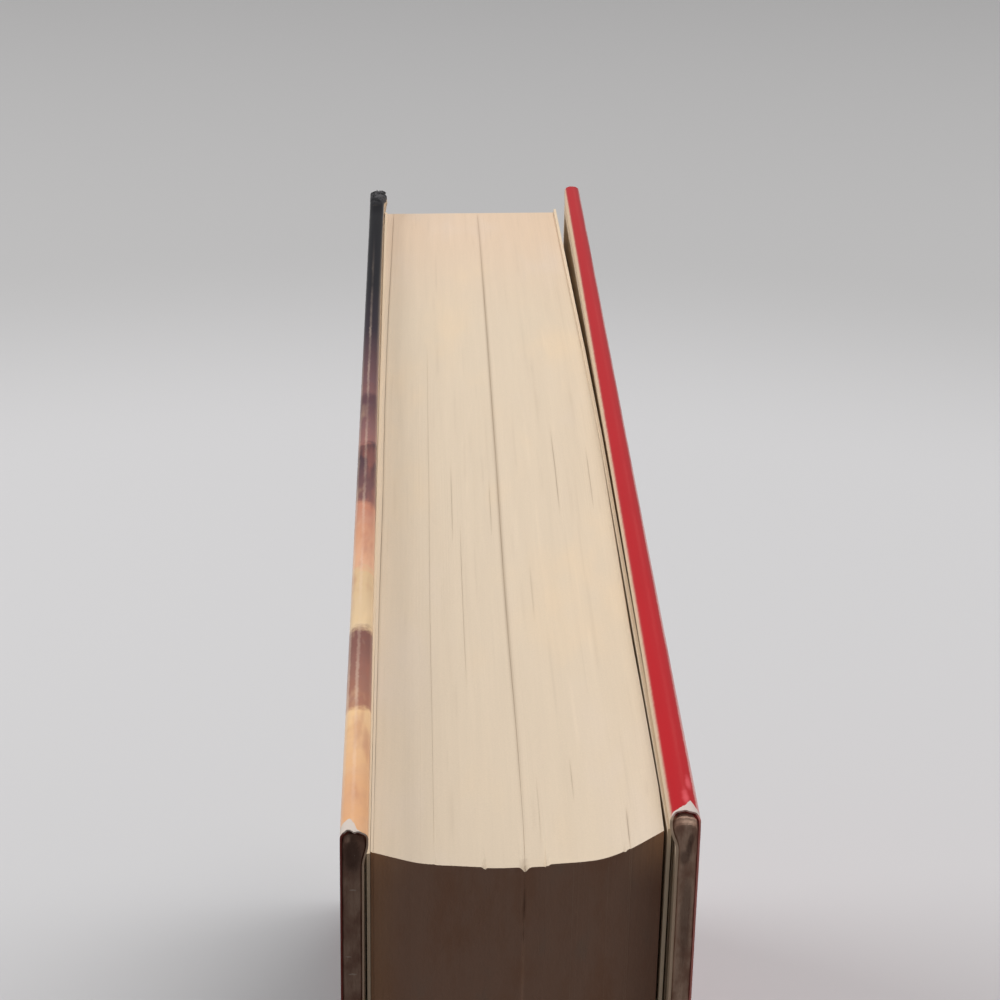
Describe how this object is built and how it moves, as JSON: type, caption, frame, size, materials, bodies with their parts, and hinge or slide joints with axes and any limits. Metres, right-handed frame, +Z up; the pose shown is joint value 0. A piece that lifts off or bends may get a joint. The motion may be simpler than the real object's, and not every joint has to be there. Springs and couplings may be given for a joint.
{
  "type": "hardback book",
  "caption": "Hardback book standing on its spine, fore-edge up, with paper-wrapped board covers that fold open along pressed joints and a drooping block of leaves.",
  "frame": {"origin": "middle of the spine's outer face, which the book stands on", "axes": "+X through the thickness from front cover to back cover, +Y along the spine from tail to head, +Z up from the spine to the fore-edge"},
  "size_m": [0.0378, 0.2206, 0.1523],
  "materials": {
    "page_paper": "matte",
    "endpaper": "matte",
    "greyboard": "matte",
    "picture_print": "gloss",
    "red_print": "gloss",
    "mull": "matte",
    "band_thread": "matte"
  },
  "bodies": {
    "book_body": {"text_block": "page_paper", "front_flyleaf": "endpaper", "back_flyleaf": "endpaper", "spine_board": "greyboard", "spine_cover_sheet": "red_print", "spine_lining": "mull", "head_band": "band_thread", "tail_band": "band_thread"},
    "front_cover": {"front_board": "greyboard", "front_cover_sheet": "picture_print", "front_pastedown": "endpaper"},
    "back_cover": {"back_board": "greyboard", "back_cover_sheet": "red_print", "back_pastedown": "endpaper"}
  },
  "joints": [
    {"name": "front_cover_hinge", "type": "hinge", "parent": "book_body", "child": "front_cover", "pos_m": [-0.01595, 0, 0.0058], "axis": [0, -1, 0], "range_deg": [0, 90]},
    {"name": "back_cover_hinge", "type": "hinge", "parent": "book_body", "child": "back_cover", "pos_m": [0.01555, 0, 0.0068], "axis": [0, 1, 0], "range_deg": [0, 90]}
  ]
}
